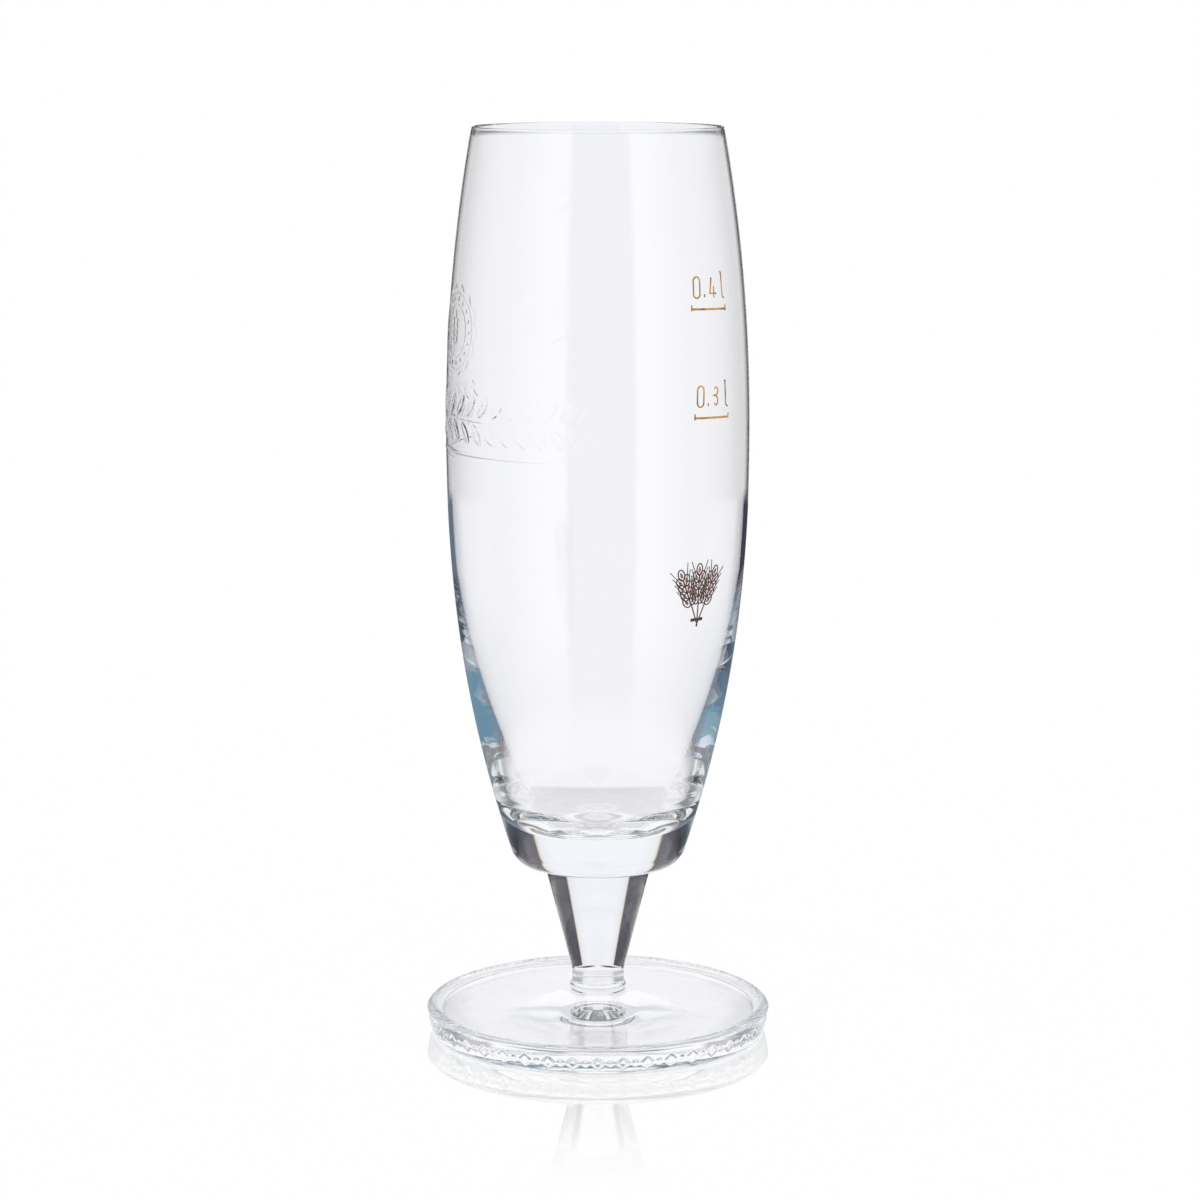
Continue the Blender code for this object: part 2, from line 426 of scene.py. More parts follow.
def medallion(across, up):
    """Rise of the medallion: a scalloped edge, two rings with beads between them and an ear of barley."""
    distance = math.hypot(across, up)
    angle = math.atan2(up, across)
    scallop = MEDALLION_RADIUS * (SCALLOP_REACH + SCALLOP_DEPTH * math.cos(SCALLOPS * angle))
    bead_turn = math.tau / RING_BEADS
    nearest = round(angle / bead_turn) * bead_turn
    bead_ring = MEDALLION_RADIUS * BEAD_RING
    from_bead = math.hypot(across - bead_ring * math.cos(nearest), up - bead_ring * math.sin(nearest))
    return max(
        SCALLOP_RISE * plateau(scallop - distance),
        plateau(OUTER_RING_HALF_WIDTH - abs(distance - MEDALLION_RADIUS)),
        plateau(INNER_RING_HALF_WIDTH - abs(distance - MEDALLION_RADIUS * INNER_RING)),
        plateau(RING_BEAD_RADIUS - from_bead),
        barley_ear(across, up),
    )


def barley_ear(across, up):
    """Rise of an upright ear: a stalk, pairs of grains and one at the tip."""
    on_stalk = EAR_STALK_LOW < up < EAR_STALK_HIGH
    rise = plateau(EAR_STALK_HALF_WIDTH - abs(across)) if on_stalk else 0.0
    rise = max(rise, oval_plateau(across, up - EAR_TIP_LEVEL, *EAR_TIP_GRAIN))
    cosine, sine = EAR_GRAIN_LEAN
    for level in range(EAR_PAIRS):
        side = abs(across) - EAR_GRAIN_SIDE
        above = up - EAR_LOWEST_PAIR - EAR_PITCH * level
        turned_side = side * cosine - above * sine
        turned_above = side * sine + above * cosine
        rise = max(rise, oval_plateau(turned_side, turned_above, *EAR_GRAIN))
    return rise


def leaf_band(along, up, length):
    """Rise of the band, from 0 to a length: leaves along a stalk and two lines beneath."""
    if not 0 < along < length:
        return 0.0
    above_line = up + LINE_BELOW_LEAVES
    above_thin_line = above_line + THIN_LINE_BELOW_LINE
    rise = max(
        plateau(LINE_HALF_WIDTH - abs(above_line)),
        THIN_LINE_RISE * plateau(THIN_LINE_HALF_WIDTH - abs(above_thin_line)),
        plateau(LEAF_STALK_HALF_WIDTH - abs(up)),
    )
    for row in (-1, 1):
        beside = math.remainder(along + row * LEAF_PITCH / 4, LEAF_PITCH)
        for neighbour in (-1, 0, 1):
            across = beside + neighbour * LEAF_PITCH
            rise = max(rise, leaf(across, row * up - LEAF_LIFT))
    return rise * min(1.0, along / BAND_FADE, (length - along) / BAND_FADE)


def leaf(across, up):
    """Rise of one slanting leaf with a vein."""
    lengthwise = across * math.cos(LEAF_SLANT) + up * math.sin(LEAF_SLANT)
    crosswise = abs(up * math.cos(LEAF_SLANT) - across * math.sin(LEAF_SLANT))
    half_width = LEAF_WIDTH / 2 * (1 - (lengthwise / (LEAF_LENGTH / 2)) ** 2)
    return plateau(half_width - crosswise) - VEIN_DEPTH * ridge(crosswise, VEIN_HALF_WIDTH)


def on_outside(radius, height):
    """Whether a point of the bowl belongs to its outer side."""
    return radius > outer_radius(height) - WALL / 2


def mould_ornament(shape):
    """Raises the medallion and the leaf band on the bowl's outside."""
    band_low = BAND_LEVEL - LINE_BELOW_LEAVES - BAND_SPARE_BELOW
    band_high = BAND_LEVEL + LEAF_LIFT + LEAF_LENGTH / 2 + BAND_SPARE_ABOVE
    medallion_reach = MEDALLION_RADIUS * MEDALLION_REACH

    def on_band(azimuth, radius, height):
        within = band_low < height < band_high and BAND_START < azimuth < BAND_END
        return within and on_outside(radius, height)

    def on_medallion(azimuth, radius, height):
        across = abs(azimuth - MEDALLION_AZIMUTH) * BELLY_RADIUS
        within = max(across, abs(height - MEDALLION_LEVEL)) < medallion_reach
        return within and on_outside(radius, height)

    refine(shape, on_band, BAND_CUTS)
    refine(shape, on_medallion, MEDALLION_CUTS)
    for vert in shape.verts:
        azimuth, radius, height = place_of(vert.co)
        side = outer_radius(height)
        if on_band(azimuth, radius, height):
            length = (BAND_END - BAND_START) * side
            rise = leaf_band((azimuth - BAND_START) * side, height - BAND_LEVEL, length)
        elif on_medallion(azimuth, radius, height):
            rise = medallion((azimuth - MEDALLION_AZIMUTH) * side, height - MEDALLION_LEVEL)
        else:
            continue
        radius = (side + ORNAMENT_RISE * rise) * MM
        vert.co = (math.sin(azimuth) * radius, -math.cos(azimuth) * radius, height * MM)


def mould_foot_edge(shape):
    """Raises a row of lozenges and beads on the foot's edge."""

    def on_edge(azimuth, radius, height):
        outer = radius > FOOT_BASE_RADIUS - FOOT_EDGE_ROUND / 2
        return outer and FOOT_EDGE_ROUND < height < FOOT_EDGE_HEIGHT

    refine(shape, on_edge, EDGE_CUTS)
    pitch = FOOT_RADIUS * math.tau / EDGE_REPEATS
    for vert in shape.verts:
        azimuth, radius, height = place_of(vert.co)
        if not on_edge(azimuth, radius, height):
            continue
        along = abs(math.remainder(azimuth * FOOT_RADIUS, pitch))
        up = height - EDGE_MIDDLE
        lozenge = 1 - along / LOZENGE_HALF_LENGTH - abs(up) / LOZENGE_HALF_HEIGHT
        rise = plateau(lozenge * LOZENGE_HALF_HEIGHT * LOZENGE_SLOPE)
        rise = max(rise, plateau(BEAD_RADIUS - math.hypot(pitch / 2 - along, up)))
        vert.co.xy *= (radius + EDGE_RISE * rise) / radius


# Enamel


def ribbon(path, width, closed=False):
    """A flat line of even width along a path, lying on the plane Z = 0."""
    shape = bmesh.new()
    points = [shape.verts.new((along, up, 0)) for along, up in path]
    ends = points[1:] + points[:1] if closed else points[1:]
    lines = [shape.edges.new(pair) for pair in zip(points, ends)]
    wall = bmesh.ops.extrude_edge_only(shape, edges=lines)["geom"]
    raised = [part for part in wall if isinstance(part, bmesh.types.BMVert)]
    bmesh.ops.translate(shape, verts=raised, vec=(0, 0, ENAMEL_THICKNESS))
    bmesh.ops.solidify(shape, geom=shape.faces[:], thickness=width)
    bmesh.ops.recalc_face_normals(shape, faces=shape.faces)
    return shape


def joined(shapes):
    """One bmesh of several."""
    whole = bmesh.new()
    for shape in shapes:
        mesh = bpy.data.meshes.new("joined")
        shape.to_mesh(mesh)
        shape.free()
        whole.from_mesh(mesh)
        bpy.data.meshes.remove(mesh)
    return whole


def wrap(shape, azimuth, level):
    """Bends a flat shape round the bowl, its origin at an azimuth and a level."""
    for vert in shape.verts:
        along, up, out = vert.co
        height = level + up
        side = outer_radius(height)
        angle = azimuth + along / side
        radius = side + ENAMEL_GAP + out
        vert.co = Vector((math.sin(angle) * radius, -math.cos(angle) * radius, height)) * MM
    smooth_but_creases(shape)
    return shape


def figure_paths(figure, left):
    """The strokes of a narrow figure that stands on 0, as (path, closed) pairs."""
    right = left + FIGURE_WIDTH
    middle = left + FIGURE_WIDTH / 2
    bend = FIGURE_WIDTH / 2
    top = FIGURE_HEIGHT
    if figure == "0":
        upper = arc((middle, top - bend), bend, bend, 0, math.pi)
        lower = arc((middle, bend), bend, bend, math.pi, math.tau)
        return [(upper + lower, True)]
    if figure == "3":
        waist = top * 0.54
        upper_half = (top - waist) / 2
        lower_half = waist / 2
        axis = middle - 0.2
        tail = math.pi * 0.85
        upper = arc((axis, waist + upper_half), bend, upper_half, tail, -math.pi / 2)
        lower = arc((axis, lower_half), bend, lower_half, math.pi / 2, -tail)
        return [(upper + lower[1:], False)]
    if figure == "4":
        bar = top * 0.24
        overhang = 0.5
        post = right - 0.3
        sweep = [(left + overhang, top), (left, bar), (right + overhang, bar)]
        upright = [(post, top * 0.58), (post, 0)]
        return [(sweep, False), (upright, False)]
    if figure == ",":
        comma_top = 0.75
        return [([(left, comma_top), (left, 0)], False)]
    letter_top = top * 1.32
    hook = 0.7
    stroke = [(left + 0.1, letter_top), (left + hook, letter_top), (left + 1.1, hook)]
    foot_bend = arc((left + 1.8, hook), hook, hook, math.pi, math.pi * 1.5)
    return [(stroke + foot_bend, False)]


def leaned(shape):
    """Turns a flat mark a little in its plane, as it was fired on."""
    bmesh.ops.rotate(shape, verts=shape.verts, matrix=Matrix.Rotation(MARK_LEAN, 3, "Z"))
    return shape


def fill_mark(name, level, figures, enamel):
    """A fill line with end ticks at a level, and its figures above; gives back the line."""
    half = MARK_LENGTH / 2
    strokes = [ribbon(filled([(-half, 0), (half, 0)], FINE), LINE_STROKE)]
    for end in (-half, half):
        strokes.append(ribbon([(end, -TICK_HALF), (end, TICK_HALF)], FIGURE_STROKE))
    line_shape = wrap(leaned(joined(strokes)), MARK_AZIMUTH, level)
    line = piece(f"{name}_line", line_shape, [enamel])

    strokes = []
    left = -half + FIGURES_START
    for figure in figures:
        for path, closed in figure_paths(figure, left):
            raised = [(along, up + FIGURES_ABOVE_LINE) for along, up in path]
            strokes.append(ribbon(raised, FIGURE_STROKE, closed))
        left += (0 if figure == "," else FIGURE_WIDTH) + FIGURE_GAP
    figures_shape = wrap(leaned(joined(strokes)), MARK_AZIMUTH, level)
    piece(f"{name}_figures", figures_shape, [enamel])
    return line


def turned_about(centre, across, along, turn):
    """A flat point given from a centre, across and along a direction that is turned from upright."""
    return (
        centre[0] + across * math.cos(turn) - along * math.sin(turn),
        centre[1] + across * math.sin(turn) + along * math.cos(turn),
    )


def kernel(centre, turn):
    """The flat filling of one grain, narrower towards its tip."""
    shape = bmesh.new()
    bmesh.ops.create_circle(shape, cap_ends=True, radius=1, segments=KERNEL_STEPS)
    for vert in shape.verts:
        across = vert.co.x * GRAIN_HALF_WIDTH * KERNEL_WIDTH * (1 - GRAIN_TAPER * vert.co.y)
        along = vert.co.y * GRAIN_HALF_LENGTH * KERNEL_LENGTH
        vert.co.xy = turned_about(centre, across, along, turn)
    raised = bmesh.ops.extrude_face_region(shape, geom=shape.faces[:])["geom"]
    upper = [part for part in raised if isinstance(part, bmesh.types.BMVert)]
    bmesh.ops.translate(shape, verts=upper, vec=(0, 0, ENAMEL_THICKNESS / 2))
    bmesh.ops.recalc_face_normals(shape, faces=shape.faces)
    return shape


def grain_outline(centre, turn):
    """Closed line round one grain."""
    path = []
    for angle in spread(0, math.tau, 2 * ROUND_POINTS)[:-1]:
        across = GRAIN_HALF_WIDTH * math.cos(angle)
        along = GRAIN_HALF_LENGTH * math.sin(angle)
        path.append(turned_about(centre, across, along, turn))
    return ribbon(path, SHEAF_LINE, closed=True)


def sheaf(umber, sienna):
    """A small fired picture in line: three barley ears with awns, bound by a band."""
    lines = []
    grains = []
    for lean in SHEAF_LEANS:
        base = (lean * STALK_SPREAD, STALK_LEVEL)
        stalk = [turned_about(base, 0, along, -lean) for along in (STALK_START, STALK_END)]
        lines.append(ribbon(filled(stalk, FINE), SHEAF_LINE))
        places = []
        for level in range(GRAIN_PAIRS):
            places += [(GRAINS_START + GRAIN_PITCH * level, side) for side in (-1, 1)]
        for along, side in places + [(TIP_GRAIN, 0)]:
            centre = turned_about(base, side * GRAIN_SIDE, along, -lean)
            turn = -lean - side * GRAIN_LEAN
            lines.append(grain_outline(centre, turn))
            grains.append(kernel(centre, turn))
            if side:
                tip = turned_about(centre, 0, AWN_LENGTH, turn)
                lines.append(ribbon([centre, tip], SHEAF_LINE * AWN_WIDTH))
    tie = [(-TIE_HALF_LENGTH, TIE_LEVEL), (TIE_HALF_LENGTH, TIE_LEVEL)]
    lines.append(ribbon(filled(tie, FINE), TIE_WIDTH))
    piece("sheaf_outline", wrap(joined(lines), SHEAF_AZIMUTH, SHEAF_LEVEL), [umber])
    piece("sheaf_grains", wrap(joined(grains), SHEAF_AZIMUTH, SHEAF_LEVEL), [sienna])


# Shader nodes


def new_material(name):
    """A material, its node tree and its shader."""
    material = bpy.data.materials.new(name)
    material.use_nodes = True
    return material, material.node_tree, material.node_tree.nodes["Principled BSDF"]


def feed(tree, socket, value):
    """Gives an input what it takes: another node's output, a colour or a number."""
    if isinstance(value, bpy.types.NodeSocket):
        tree.links.new(value, socket)
    elif isinstance(value, tuple):
        socket.default_value = (*value, 1)
    else:
        socket.default_value = value


def value_node(tree, operation, *values):
    """A Math node; inputs are sockets or numbers."""
    node = tree.nodes.new("ShaderNodeMath")
    node.operation = operation
    for socket, value in zip(node.inputs, values):
        feed(tree, socket, value)
    return node.outputs["Value"]


def product(tree, *values):
    """Sockets or numbers multiplied."""
    result = values[0]
    for value in values[1:]:
        result = value_node(tree, "MULTIPLY", result, value)
    return result


def greatest(tree, *values):
    """The greatest of several sockets."""
    result = values[0]
    for value in values[1:]:
        result = value_node(tree, "MAXIMUM", result, value)
    return result


def soft_step(tree, value, low, high, course="SMOOTHSTEP"):
    """0 at low and 1 at high, with a smooth or other course between; low may be above high."""
    node = tree.nodes.new("ShaderNodeMapRange")
    node.interpolation_type = course
    feed(tree, node.inputs["Value"], value)
    feed(tree, node.inputs["From Min"], low)
    feed(tree, node.inputs["From Max"], high)
    return node.outputs["Result"]


def ramp_node(tree, value, stops):
    """A colour ramp; stops are (position, colour) pairs."""
    node = tree.nodes.new("ShaderNodeValToRGB")
    elements = node.color_ramp.elements
    while len(elements) < len(stops):
        elements.new(1.0)
    for element, (position, colour) in zip(elements, stops):
        element.position = position
        element.color = (*colour, 1)
    feed(tree, node.inputs["Fac"], value)
    return node.outputs["Color"]


def colour_mix(tree, share, first, second):
    """A colour mix; colours are sockets or values."""
    node = tree.nodes.new("ShaderNodeMix")
    node.data_type = "RGBA"
    feed(tree, node.inputs["Factor"], share)
    feed(tree, node.inputs[6], first)
    feed(tree, node.inputs[7], second)
    return node.outputs[2]


def shader_mix(tree, share, first, second):
    """A mix of two shaders; the share is a socket or a number."""
    node = tree.nodes.new("ShaderNodeMixShader")
    feed(tree, node.inputs["Fac"], share)
    feed(tree, node.inputs[1], first)
    feed(tree, node.inputs[2], second)
    return node.outputs["Shader"]


def noise(tree, place, scale, detail):
    """Noise from 0 to 1 at a place."""
    node = tree.nodes.new("ShaderNodeTexNoise")
    feed(tree, node.inputs["Vector"], place)
    feed(tree, node.inputs["Scale"], scale)
    feed(tree, node.inputs["Detail"], detail)
    return node.outputs["Fac"]


def coordinates(tree, kind):
    """A texture coordinate and its X, Y and Z."""
    place = tree.nodes.new("ShaderNodeTexCoord").outputs[kind]
    parts = tree.nodes.new("ShaderNodeSeparateXYZ")
    feed(tree, parts.inputs["Vector"], place)
    return place, parts.outputs["X"], parts.outputs["Y"], parts.outputs["Z"]


def node_group(name, inputs, outputs):
    """A new node group, its sockets for what comes in and those for what goes out."""
    group = bpy.data.node_groups.new(name, "ShaderNodeTree")
    for label, kind in inputs.items():
        group.interface.new_socket(label, in_out="INPUT", socket_type=f"NodeSocket{kind}")
    for label, kind in outputs.items():
        group.interface.new_socket(label, in_out="OUTPUT", socket_type=f"NodeSocket{kind}")
    return group, group.nodes.new("NodeGroupInput").outputs, group.nodes.new("NodeGroupOutput").inputs


def placed(tree, group, values):
    """A node group placed in a tree with its own values; gives back its outputs."""
    node = tree.nodes.new("ShaderNodeGroup")
    node.node_tree = group
    for label, value in values.items():
        feed(tree, node.inputs[label], value)
    return node.outputs


# Materials of the glass


GLASS_TINT = (0.98, 0.982, 0.996)
GLASS_IOR = 1.5
WAVE_DETAIL = 1.0
ENAMEL_ROUGHNESS = 0.32
PATCH_DETAIL = 3.0
DARK_PATCH = 0.35
LIGHT_PATCH = 0.62
GOLD = ((0.62, 0.32, 0.035), (0.16, 0.08, 0.025))  # colours of the light and dark patches
UMBER = ((0.055, 0.022, 0.018), (0.03, 0.012, 0.012))
SIENNA = ((0.36, 0.13, 0.09), (0.22, 0.07, 0.05))


def skin_waves():
    """Group: faint waves in the skin of blown and pressed glass."""
    inputs = {"Place": "Vector", "Scale": "Float"}
    group, given, result = node_group("skin_waves", inputs, {"Height": "Float"})
    feed(group, result["Height"], noise(group, given["Place"], given["Scale"], WAVE_DETAIL))
    return group


def clear_glass(name, waves, wave_scale, wave_depth):
    """Clear glass with waves in its skin, of a depth in millimetres."""
    material, tree, shader = new_material(name)
    shader.inputs["Base Color"].default_value = (*GLASS_TINT, 1)
    shader.inputs["Roughness"].default_value = 0.0
    shader.inputs["Transmission Weight"].default_value = 1.0
    shader.inputs["IOR"].default_value = GLASS_IOR
    place = tree.nodes.new("ShaderNodeTexCoord").outputs["Object"]
    skin = placed(tree, waves, {"Place": place, "Scale": wave_scale})
    bump = tree.nodes.new("ShaderNodeBump")
    bump.inputs["Strength"].default_value = 1.0
    bump.inputs["Distance"].default_value = wave_depth * MM
    feed(tree, bump.inputs["Height"], skin["Height"])
    feed(tree, shader.inputs["Normal"], bump.outputs["Normal"])
    return material


def fused_face():
    """Where two gathers of glass are fused nothing shows."""
    material, _, shader = new_material("fused_face")
    shader.inputs["Alpha"].default_value = 0.0
    return material


def fired_patches():
    """Group: the colour of a fired film, which is thicker and darker in patches."""
    inputs = {"Place": "Vector", "Scale": "Float", "Light": "Color", "Dark": "Color"}
    group, given, result = node_group("fired_patches", inputs, {"Color": "Color"})
    thin = noise(group, given["Place"], given["Scale"], PATCH_DETAIL)
    thin = soft_step(group, thin, DARK_PATCH, LIGHT_PATCH, course="LINEAR")
    feed(group, result["Color"], colour_mix(group, thin, given["Dark"], given["Light"]))
    return group


def fired_enamel(name, patches, colours, metallic, patch_scale):
    """Fired enamel film, in a light and a dark colour."""
    material, tree, shader = new_material(name)
    shader.inputs["Metallic"].default_value = metallic
    shader.inputs["Roughness"].default_value = ENAMEL_ROUGHNESS
    place = tree.nodes.new("ShaderNodeTexCoord").outputs["Object"]
    light, dark = colours
    film = placed(tree, patches, {"Place": place, "Scale": patch_scale, "Light": light, "Dark": dark})
    feed(tree, shader.inputs["Base Color"], film["Color"])
    return material


# Studio


def studio_material(name):
    """A material of the studio, with no shader yet, and its node tree."""
    material, tree, shader = new_material(name)
    tree.nodes.remove(shader)
    return material, tree


# World: colours, and the slopes of the view between which each comes in
WHITE = (1.0, 1.0, 1.0)
SWEEP = (0.91, 0.93, 0.965)
CEILING_LOW = 0.5
CEILING_HIGH = 0.62
UPWARD_LOW = -0.015
UPWARD_HIGH = 0.05
UPWARD = (0.08, 0.08, 0.10)
MOST_SURFACES = 2.5  # light that crossed fewer surfaces of glass than this has crossed few

# How bright the studio looks in a reflection: turn from straight behind the glass, in degrees, and level
STUDIO_LEVELS = (
    (-180, 0.03),
    (-159, 0.03),
    (-154, 1.0),
    (-140, 1.0),
    (-105, 0.25),
    (-30, 0.5),
    (-27, 1.0),
    (27, 1.0),
    (30, 0.5),
    (105, 0.25),
    (140, 1.0),
    (149, 1.0),
    (154, 0.03),
    (180, 0.03),
)


def light_kinds():
    """Group: masks of light by clean glass, straight or mirrored, across few surfaces or many (deep)."""
    inputs = dict.fromkeys(("Clean", "Crossed", "Bounces"), "Float")
    outputs = dict.fromkeys(("Straight", "Mirrored", "Straight Deep", "Mirrored Deep"), "Float")
    group, given, result = node_group("light_kinds", inputs, outputs)
    few = value_node(group, "LESS_THAN", given["Crossed"], MOST_SURFACES)
    unbent = value_node(group, "LESS_THAN", given["Bounces"], 0.5)
    straight = product(group, given["Clean"], unbent)
    mirrored = value_node(group, "SUBTRACT", given["Clean"], straight)
    for label, light in (("Straight", straight), ("Mirrored", mirrored)):
        light_few = product(group, light, few)
        feed(group, result[label], light_few)
        feed(group, result[f"{label} Deep"], value_node(group, "SUBTRACT", light, light_few))
    return group


def glass_light(tree, kinds):
    """The masks of light in a tree, and how often the light was mirrored."""
    path = tree.nodes.new("ShaderNodeLightPath").outputs
    bounces = path["Glossy Depth"]
    clean = path["Is Singular Ray"]
    crossed = path["Transmission Depth"]
    return placed(tree, kinds, {"Clean": clean, "Crossed": crossed, "Bounces": bounces}), bounces


def studio_round():
    """Group: the studio's light and dark as seen in a reflection, by the direction on the ground."""
    inputs = {"Across": "Float", "Ahead": "Float"}
    group, given, result = node_group("studio_round", inputs, {"Color": "Color"})
    turn = value_node(group, "ARCTAN2", given["Across"], given["Ahead"])
    share = value_node(group, "MULTIPLY_ADD", turn, 1 / math.tau, 0.5)
    stops = [(degrees / 360 + 0.5, (level,) * 3) for degrees, level in STUDIO_LEVELS]
    feed(group, result["Color"], ramp_node(group, share, stops))
    return group


def studio(kinds, pattern):
    """White light all round; reflections in the glass show a studio with a sweep and two soft boxes."""
    world = bpy.data.worlds.new("studio")
    bpy.context.scene.world = world
    world.use_nodes = True
    tree = world.node_tree
    _, across, ahead, slope = coordinates(tree, "Generated")
    mirror_image = placed(tree, pattern, {"Across": across, "Ahead": ahead})["Color"]
    light, _ = glass_light(tree, kinds)
    overhead = soft_step(tree, slope, CEILING_LOW, CEILING_HIGH)
    deep = product(tree, light["Mirrored Deep"], overhead)
    mirrored = value_node(tree, "ADD", light["Mirrored"], deep)
    upward = soft_step(tree, slope, UPWARD_LOW, UPWARD_HIGH)
    colour = colour_mix(tree, light["Straight"], WHITE, SWEEP)
    colour = colour_mix(tree, product(tree, light["Straight Deep"], upward), colour, UPWARD)
    colour = colour_mix(tree, mirrored, colour, mirror_image)
    feed(tree, tree.nodes["Background"].inputs["Color"], colour)


# Glowing cards beside the glass that only the glass sees; their colours are painted reflections and painted
# dark edges of the glass. A turn on them is counted from straight behind the glass
CARD_RADIUS = 110.0
CARD_HEIGHT = 300.0
CARD_END = math.radians(104)
CARD_STEPS = 48

# Where light that came straight through sees them
SOLID_LOW = 16.0
SOLID_HIGH = 140.0
SOLID_START = math.radians(15)
TALL_START = math.radians(44)
TALL_FULL = math.radians(54)

# Where mirrored light sees them
EDGE_START = math.radians(26.5)
SOFT_START = math.radians(12)
SOFT_END = math.radians(40)

# What they show straight through a solid piece: turn in degrees and colour
SOLID_COLOURS = (
    (15, (0.90, 0.92, 0.955)),
    (21, (0.82, 0.84, 0.87)),
    (22.3, (0.75, 0.66, 0.55)),
    (23.3, (0.09, 0.06, 0.055)),
    (25, (0.06, 0.058, 0.08)),
    (32, (0.055, 0.053, 0.075)),
    (36, (0.03, 0.028, 0.04)),
    (48, (0.012, 0.011, 0.016)),
    (58, (0.008, 0.007, 0.010)),
)

# What they show mirrored in the thin wall: turn and level
EDGE_LEVELS = (
    (0, 0.9),
    (2, 0.01),
    (9, 0.01),
    (11.5, 0.42),
    (16.5, 0.62),
    (21.5, 0.48),
    (30.5, 0.2),
    (35.5, 0.1),
    (43.5, 0.03),
    (51.5, 0.08),
    (77.5, 0.25),
)
EDGE_STARTS = {"glowing_card_left": 26.5, "glowing_card_right": 29.5}
RIM_LEVELS = ((15, 0.0), (44, 0.0), (52, 0.3), (62, 0.1), (104, 0.25))
RIM_LOW = 227.0
RIM_HIGH = 231.0

# What they show mirrored in the thick wall: an outer band, by how often the light is turned back inside it,
# and an inner band, by height on the card
THIN_WALL_LOW = 118.0
THIN_WALL_HIGH = 124.0
WARM = (0.88, 0.85, 0.78)
COOL = (0.74, 0.82, 0.92)
TEAL = (0.13, 0.28, 0.39)
LIGHT_TEAL = (0.18, 0.37, 0.45)
PALE_TEAL = (0.34, 0.47, 0.54)
PALE_GREY = (0.41, 0.47, 0.51)
BLUE_VIOLET = (0.10, 0.15, 0.23)
DARK_VIOLET = (0.05, 0.045, 0.07)
DARK_BLUE = (0.13, 0.16, 0.215)
DULL_TEAL = (0.15, 0.24, 0.31)
FOOT_GREY = (0.66, 0.68, 0.72)
OUTER_COLOURS = {
    "glowing_card_left": ((9, TEAL), (20, TEAL), (22, PALE_GREY)),
    "glowing_card_right": (
        (9, PALE_TEAL),
        (12.5, PALE_TEAL),
        (14, LIGHT_TEAL),
        (16.5, TEAL),
        (18.5, BLUE_VIOLET),
        (21, DARK_VIOLET),
    ),
}
INNER_COLOURS = {
    "glowing_card_left": ((46, FOOT_GREY), (56, DARK_BLUE)),
    "glowing_card_right": (
        (46, FOOT_GREY),
        (56, DULL_TEAL),
        (66, DULL_TEAL),
        (72, TEAL),
        (80, BLUE_VIOLET),
        (88, DARK_VIOLET),
    ),
}
FAR_COLOURS = {"glowing_card_left": WARM, "glowing_card_right": COOL}
MOST_BACK = 32.0  # turns back at the outer band's last colour
BAND_BACK = 8.5  # turns back that part the bands
LIT_BACK = 0.75  # half width of the lit line between them
LIT_SHARE = 0.35
UPPER_BACK = 13.5  # higher up the inner band takes more turns
UPPER_TURN = math.radians(46)
UPPER_LOW = 88.0
LED_HIGH = 136.0  # light led far round the wall keeps these colours up to here
FAR_TURN = 97.0
FAR_SOFT = 2.0
WOBBLE_SCALE = 70.0  # of the noise that moves the borders of the colours
WOBBLE_DETAIL = 2.0
WOBBLE_REACH = 22.0
WOBBLE_BACK = 4.0
WOBBLE_TURN = 40.0

# What light sees there that is turned back only a few times: to the side, and low down
SIDE_GREY = (0.45, 0.45, 0.48)
SIDE_BACK = 3.5
SIDE_START = math.radians(58)
SIDE_FULL = math.radians(70)
LOW_GREY = (0.21, 0.25, 0.31)
LOW_DARK = (0.04, 0.04, 0.055)
LOW_BACK = 2.5
LOW_FULL = 50.0
LOW_END = 85.0
LOW_DARK_START = math.radians(76)
LOW_DARK_FULL = math.radians(90)


def grey(stops):
    """Colour stops of a list of levels by turn in degrees, over half a turn."""
    return [(degrees / 180, (level,) * 3) for degrees, level in stops]


